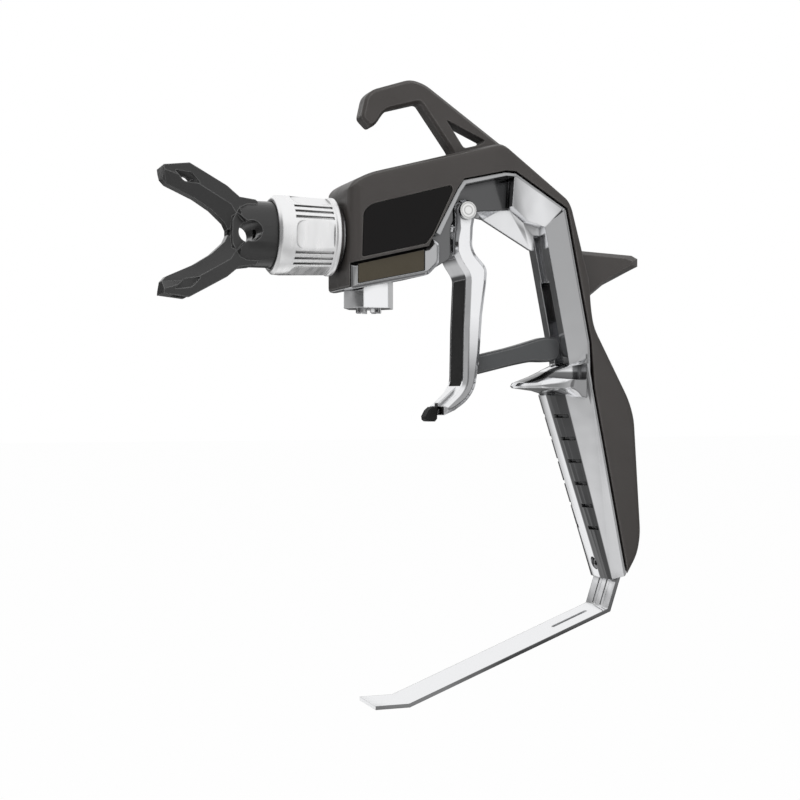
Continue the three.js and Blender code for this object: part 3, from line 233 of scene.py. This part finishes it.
soft_lamp("overhead_lamp", (-0.2, -0.5, 1.1), 1.0, 6)
soft_lamp("left_lamp", (-1.0, -1.0, 0.4), 0.8, 10)
soft_lamp("right_lamp", (0.9, -1.2, 0.2), 0.7, 7)


# ---- Cast frame -------------------------------------------------------------------------------
# One aluminium casting holds the window, the spine, the finger shelf and the front of the grip. It
# is polished and plated bright, with slight waves from polishing and hazy patches from handling.
BEND_LIMIT = math.radians(25)
JOIN_DISTANCE = 0.000005
CORNER_SHADE_REACH = 0.003          # how far the painted corner shade reaches out of a corner
PLATING = (0.88, 0.885, 0.9)


def gentle_bends():
    """Joins the triangles of a solid and shades its slight bends as one curve."""
    group = bpy.data.node_groups.new("gentle_bends", "GeometryNodeTree")
    for way in ("INPUT", "OUTPUT"):
        group.interface.new_socket(name="Geometry", in_out=way, socket_type="NodeSocketGeometry")
    kinds = ("NodeGroupInput", "GeometryNodeMergeByDistance", "GeometryNodeSetShadeSmooth",
             "GeometryNodeSetShadeSmooth", "NodeGroupOutput")
    chain = [group.nodes.new(kind) for kind in kinds]
    for before, after in zip(chain, chain[1:]):
        group.links.new(before.outputs[0], after.inputs[0])
    chain[1].inputs["Distance"].default_value = JOIN_DISTANCE
    chain[3].domain = "EDGE"
    chain[3].inputs["Shade Smooth"].default_value = False
    turn = group.nodes.new("GeometryNodeInputMeshEdgeAngle")
    sharp = group.nodes.new("FunctionNodeCompare")
    sharp.inputs["B"].default_value = BEND_LIMIT
    group.links.new(turn.outputs["Unsigned Angle"], sharp.inputs["A"])
    group.links.new(sharp.outputs[0], chain[3].inputs["Selection"])
    return group


BENDS = gentle_bends()


def dress(piece, finish):
    """Puts a finish on a piece, with flat faces crisp and curved ones smooth."""
    piece.data.materials.clear()
    piece.data.materials.append(finish)
    piece.modifiers.new("gentle_bends", "NODES").node_group = BENDS
    piece.modifiers.new("flat_faces", "WEIGHTED_NORMAL").keep_sharp = True


def surface(finish, names):
    """Puts a finish on CAD nodes."""
    for name in names:
        dress(nodes[name], finish)


def add_noise(tree, scale, detail=3.0, stretch=(1, 1, 1)):
    """Noise in the gun's own coordinates, in cycles per metre."""
    place = tree.nodes.new("ShaderNodeTexCoord")
    mapping = tree.nodes.new("ShaderNodeMapping")
    mapping.inputs["Scale"].default_value = stretch
    noise = tree.nodes.new("ShaderNodeTexNoise")
    noise.inputs["Scale"].default_value = scale
    noise.inputs["Detail"].default_value = detail
    tree.links.new(place.outputs["Object"], mapping.inputs["Vector"])
    tree.links.new(mapping.outputs["Vector"], noise.inputs["Vector"])
    return noise.outputs["Fac"]


def spread(tree, value, low, high):
    """Maps the middle of a noise to a range."""
    return remap(tree, value, 0.3, 0.7, low, high)


def soft_edges(tree, radius):
    """The surface direction with edges rounded over a radius in metres."""
    soft = tree.nodes.new("ShaderNodeBevel")
    soft.samples = 4
    soft.inputs["Radius"].default_value = radius
    return soft.outputs["Normal"]


def relief(tree, shader, height, depth, edge):
    """Bump of a depth in metres over softened edges; returns the softened direction."""
    bump = tree.nodes.new("ShaderNodeBump")
    bump.inputs["Strength"].default_value = 1.0
    bump.inputs["Distance"].default_value = depth
    tree.links.new(height, bump.inputs["Height"])
    soft = soft_edges(tree, edge)
    tree.links.new(soft, bump.inputs["Normal"])
    tree.links.new(bump.outputs["Normal"], shader.inputs["Normal"])
    return soft


def two_tones(tree, share, first, second):
    """Mixes two colours by a share."""
    mix = tree.nodes.new("ShaderNodeMix")
    mix.data_type = "RGBA"
    mix.inputs["A"].default_value = (*first, 1)
    mix.inputs["B"].default_value = (*second, 1)
    tree.links.new(share, mix.inputs["Factor"])
    return mix.outputs["Result"]


def metal(name, colour, smooth, rough, wave, edge, stretch=(1, 1, 1), corner_shade_share=0.25):
    """A plated or bare metal, of uneven gloss, with painted shade in its corners."""
    material, tree, shader = new_material(name)
    shader.inputs["Metallic"].default_value = 1.0
    tree.links.new(spread(tree, add_noise(tree, 60, 5, stretch), smooth, rough),
                   shader.inputs["Roughness"])
    relief(tree, shader, add_noise(tree, 45, 2, stretch), wave, edge)
    # Painted shade: the base colour darkens towards corners and creases, as occlusion finds them.
    corner = tree.nodes.new("ShaderNodeAmbientOcclusion")
    corner.samples = 6
    corner.inputs["Distance"].default_value = CORNER_SHADE_REACH
    shaded = tuple(c * corner_shade_share for c in colour)
    tree.links.new(two_tones(tree, remap(tree, corner.outputs["AO"], 0.35, 0.9, 0.0, 1.0),
                             shaded, colour), shader.inputs["Base Color"])
    return material


def within(tree, value, low, high, soft):
    """One where a value lies between two bounds, with soft ends."""
    return sum_of(tree, "MULTIPLY", remap(tree, value, low - soft, low + soft, 0.0, 1.0),
                  remap(tree, value, high - soft, high + soft, 1.0, 0.0))


# Areas that look darker than bare plating in the photograph, in millimetres: along the gun, out
# from its middle plane and up, with the share of the plating's brightness that is left.
# Each area is painted shade and painted dark reflection, taken off the plating's colour.
FRAME_SHADE_AREAS = (
    (-66, -37.6, 4.2, 6.8, 106, 140, 0.12),   # the web in the head
    (-112, -62, 9.4, 10.6, 80, 120, 0.17),    # the wall beside the trigger
    (-113, -80, 14.5, 15.3, 78, 98, 0.4),     # the seat of the label plate
    (-120, 40, 15.5, 16, -60, 140, 0.5),      # the rim next to the casing
    (-14, -3, 14.8, 15.4, 30, 52, 0.35),      # the flange beside the shelf
    (-42, -6, -1, 9.2, 39.6, 44.4, 0.2),      # the hollow of the shelf
)

# The strips of the grip that the notches are cut in carry a painted dark reflection; the bounds are
# in metres from the middle plane. The near one widens to the foot of the grip.
STRIP_INNER = 0.0026
STRIP_LEAN = 0.022
STRIP_INNER_FAR = 0.0066
STRIP_OUTER = 0.0101
STRIP_FRONT = -0.03
STRIP_TOP = 0.037
STRIP_REFLECTION_TONE = 0.14


def darkened_areas(tree, areas, soft=0.0004):
    """How much brightness is left at each place, and how far along, out and up the place is."""
    place = tree.nodes.new("ShaderNodeTexCoord")
    split = tree.nodes.new("ShaderNodeSeparateXYZ")
    tree.links.new(place.outputs["Object"], split.inputs[0])
    along, across, up = split.outputs
    side = sum_of(tree, "ABSOLUTE", across)
    left = 1.0
    for a0, a1, s0, s1, u0, u1, tone in areas:
        here = sum_of(tree, "MULTIPLY", within(tree, along, a0 / 1000, a1 / 1000, soft),
                      sum_of(tree, "MULTIPLY", within(tree, side, s0 / 1000, s1 / 1000, 0.0001),
                             within(tree, up, u0 / 1000, u1 / 1000, soft)))
        left = blend(tree, here, left, sum_of(tree, "MULTIPLY", left, tone))
    return left, along, across, up


def darken_base_colour(tree, left):
    """Takes the base colour of a finish down by a share."""
    shader = tree.nodes["Principled BSDF"]
    scale = tree.nodes.new("ShaderNodeVectorMath")
    scale.operation = "SCALE"
    tree.links.new(shader.inputs["Base Color"].links[0].from_socket, scale.inputs[0])
    tree.links.new(left, scale.inputs["Scale"])
    tree.links.new(scale.outputs[0], shader.inputs["Base Color"])


def frame_plating():
    """The frame's plating: painted shade and dark reflections in areas and on the notched grip
    strips.
    """
    material = metal("frame_plating", PLATING, 0.08, 0.17, 0.0003, 0.0005)
    tree = material.node_tree
    left, along, across, up = darkened_areas(tree, FRAME_SHADE_AREAS)
    near = sum_of(tree, "MULTIPLY", across, -1.0)
    inner = sum_of(tree, "MULTIPLY_ADD", up, STRIP_LEAN, STRIP_INNER)
    strip = within(tree, sum_of(tree, "SUBTRACT", near, inner), 0, 0.02, 0.0003)
    far_strip = within(tree, across, STRIP_INNER_FAR, STRIP_OUTER, 0.0003)
    strip = sum_of(tree, "MAXIMUM", strip, far_strip)
    for value, low, high, soft in ((near, -STRIP_OUTER, STRIP_OUTER, 0.0001),
                                   (up, -1, STRIP_TOP, 0.003), (along, STRIP_FRONT, 1, 0.001)):
        strip = sum_of(tree, "MULTIPLY", strip, within(tree, value, low, high, soft))
    # Takes the colour down by the painted shade areas and by the strips' painted dark reflection.
    darken_base_colour(tree, blend(tree, strip, left, sum_of(tree, "MULTIPLY", left, STRIP_REFLECTION_TONE)))
    return material


surface(frame_plating(), ["frame"])

# ---- Trigger ----------------------------------------------------------------------------------
# The two-finger trigger is a second casting, polished and plated as the frame is. The sides of
# its lower half carry a painted dark reflection.
TRIGGER_SHADE_AREAS = ((-80, -40, 9.4, 11, 0, 50, 0.5), (-80, -40, 9.4, 11, 0, 62, 0.8))


def plating(name, areas, soft=0.0004):
    """Bright plating, with painted shade and dark reflections in set areas."""
    material = metal(name, PLATING, 0.08, 0.17, 0.0003, 0.0005)
    darken_base_colour(material.node_tree, darkened_areas(material.node_tree, areas, soft)[0])
    return material


surface(plating("trigger_plating", TRIGGER_SHADE_AREAS, 0.006), ["trigger"])

# ---- Strap under the grip ---------------------------------------------------------------------
# A flat bar, bent up at the rear, where its tab is screwed into the grip. It is plated as the
# frame is, with a painted dark reflection on its cut edges.
STRAP_SHADE_AREAS = ((-120, 40, 10.35, 11, -120, 0, 0.25),)
surface(plating("strap_plating", STRAP_SHADE_AREAS), ["guard_strap"])

# ---- Inlet fitting ----------------------------------------------------------------------------
# The hose screws on this hexagon with its slotted collar. It is turned from bar and plated.
surface(metal("polished_plating", PLATING, 0.08, 0.17, 0.0003, 0.0007), ["inlet_fitting"])


# ---- Casing halves ----------------------------------------------------------------------------
# Two halves, screwed together from the right, are moulded in glass-filled nylon, nearly black with
# a warm cast. The mould is finely grained, so that the plastic has a soft sheen.
def on_edges(tree, soft):
    """One on an edge and nought on a face, from how far the softened direction turns."""
    plain = tree.nodes.new("ShaderNodeNewGeometry")
    turn = tree.nodes.new("ShaderNodeVectorMath")
    turn.operation = "DOT_PRODUCT"
    tree.links.new(soft, turn.inputs[0])
    tree.links.new(plain.outputs["Normal"], turn.inputs[1])
    return remap(tree, turn.outputs["Value"], 0.995, 0.9, 0.0, 1.0)


def moulded(name, colour, wear_and_highlight, smooth, rough, grain, edge, gleam=0.5):
    """Grained moulded plastic with a painted highlight on its edges, patchy like rubbed wear."""
    material, tree, shader = new_material(name)
    shader.inputs["Specular IOR Level"].default_value = gleam
    tree.links.new(spread(tree, add_noise(tree, 90, 4), smooth, rough), shader.inputs["Roughness"])
    soft = relief(tree, shader, add_noise(tree, 2600, 2), grain, edge)
    # Painted edge highlight, broken into patches like rubbed wear.
    edge_wear_and_highlight = sum_of(tree, "MULTIPLY", on_edges(tree, soft),
                    spread(tree, add_noise(tree, 140, 3), 0.4, 1))
    tree.links.new(two_tones(tree, edge_wear_and_highlight, colour, wear_and_highlight), shader.inputs["Base Color"])
    return material


surface(moulded("casing_nylon", (0.036, 0.032, 0.030), (0.13, 0.125, 0.12), 0.36, 0.48, 0.00004,
                0.0009),
        ["casing_left", "casing_right"])

# ---- Side panel -------------------------------------------------------------------------------
# A high-gloss inlay fills the recess in the left casing half. It is bare.
surface(moulded("panel_gloss", (0.005, 0.0045, 0.0045), (0.02, 0.02, 0.02), 0.05, 0.1, 0.000003,
                0.0004, 0.12),
        ["side_panel"])

# ---- Label plate ------------------------------------------------------------------------------
# A thin bare plate, brown-black and matt, lies in the metal under the panel.
surface(moulded("label_film", (0.040, 0.032, 0.018), (0.06, 0.05, 0.035), 0.4, 0.55, 0.00003,
                0.0003),
        ["label_plate"])

# ---- Lock lever -------------------------------------------------------------------------------
# The lever across the window is moulded in a greyer nylon than the casing, and turns on a pin in
# the trigger.
surface(moulded("lever_nylon", (0.048, 0.05, 0.052), (0.2, 0.2, 0.2), 0.35, 0.45, 0.00003, 0.0006),
        ["lock_lever"])

# ---- Soft black pieces ------------------------------------------------------------------------
# The insert and the lip of the trigger and the seal behind the tip guard are of soft black
# plastic, which hardly shines.
surface(moulded("soft_pad", (0.008, 0.008, 0.008), (0.02, 0.02, 0.02), 0.5, 0.65, 0.00005, 0.0005,
                0.2),
        ["trigger_pad", "trigger_tip", "tip_seal"])

# ---- Tip guard --------------------------------------------------------------------------------
# Two arms keep hands away from the spray, and the cross bore takes a spray tip. It is moulded in
# black nylon with a smoother skin than the casing's.
surface(moulded("guard_nylon", (0.018, 0.018, 0.018), (0.2, 0.2, 0.2), 0.2, 0.28, 0.00002, 0.0006),
        ["tip_guard"])

# ---- Retaining nut and the trigger's nut ------------------------------------------------------
# Both are aluminium with a satin finish. The large one holds the tip guard on the gun, and has
# fine marks from the lathe tool round its axis.
surface(metal("satin_aluminium", (0.94, 0.94, 0.945), 0.24, 0.34, 0.00002, 0.0006, (8, 1, 1)),
        ["retaining_nut", "trigger_screw_nut"])


# ---- Trigger screw ----------------------------------------------------------------------------
# The trigger turns on this screw. Its head is satin metal with two turned rings round the middle.
def screw_head():
    """Satin metal with two turned rings round the middle of the screw's head."""
    material = metal("turned_head", (0.94, 0.94, 0.93), 0.24, 0.34, 0.00002, 0.0004)
    tree = material.node_tree
    low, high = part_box("trigger_screw")
    _, along, _, up = darkened_areas(tree, ())
    out = sum_of(tree, "POWER", sum_of(tree, "SUBTRACT", along, (low[0] + high[0]) / 2), 2.0)
    rise = sum_of(tree, "POWER", sum_of(tree, "SUBTRACT", up, (low[2] + high[2]) / 2), 2.0)
    reach = sum_of(tree, "SQRT", sum_of(tree, "ADD", out, rise))
    rings = sum_of(tree, "MAXIMUM", within(tree, reach, 0.0016, 0.002, 0.0002),
                   within(tree, reach, 0.0029, 0.0033, 0.0002))
    darken_base_colour(tree, blend(tree, rings, 1.0, 0.5))
    return material


surface(screw_head(), ["trigger_screw"])

# ---- Needle packing ---------------------------------------------------------------------------
# A ring of white plastic seals the needle where it leaves the valve.
surface(moulded("packing_plastic", (0.75, 0.73, 0.68), (0.78, 0.76, 0.72), 0.4, 0.5, 0.00002,
                0.0003),
        ["needle_packing"])

# ---- Steel parts ------------------------------------------------------------------------------
# The neck for the nut, the valve's parts, the lever's pin and the screws of the strap and the
# casing are machined steel, a little darker than the plating.
machined_steel = metal("machined_steel", (0.50, 0.50, 0.51), 0.25, 0.4, 0.0001, 0.0004)
surface(machined_steel,
        ["nozzle_adaptor", "valve_seat", "needle", "needle_nut", "spring_cap",
         "lock_lever_pin", "strap_screw"] + [f"casing_screw_{i}" for i in range(1, 6)])

# ---- Return spring ----------------------------------------------------------------------------
# A coil of steel wire lies round the needle, between its collar and the screwed cap. The collar
# presses it against the cap as the trigger is pulled, and it pushes the needle shut again.
coil = bpy.data.objects.new("return_spring", nodes["needle_spring"].data.copy())
bpy.context.scene.collection.objects.link(coil)
dress(coil, machined_steel)
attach(coil, "gun")
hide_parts("needle_spring")
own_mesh(coil)
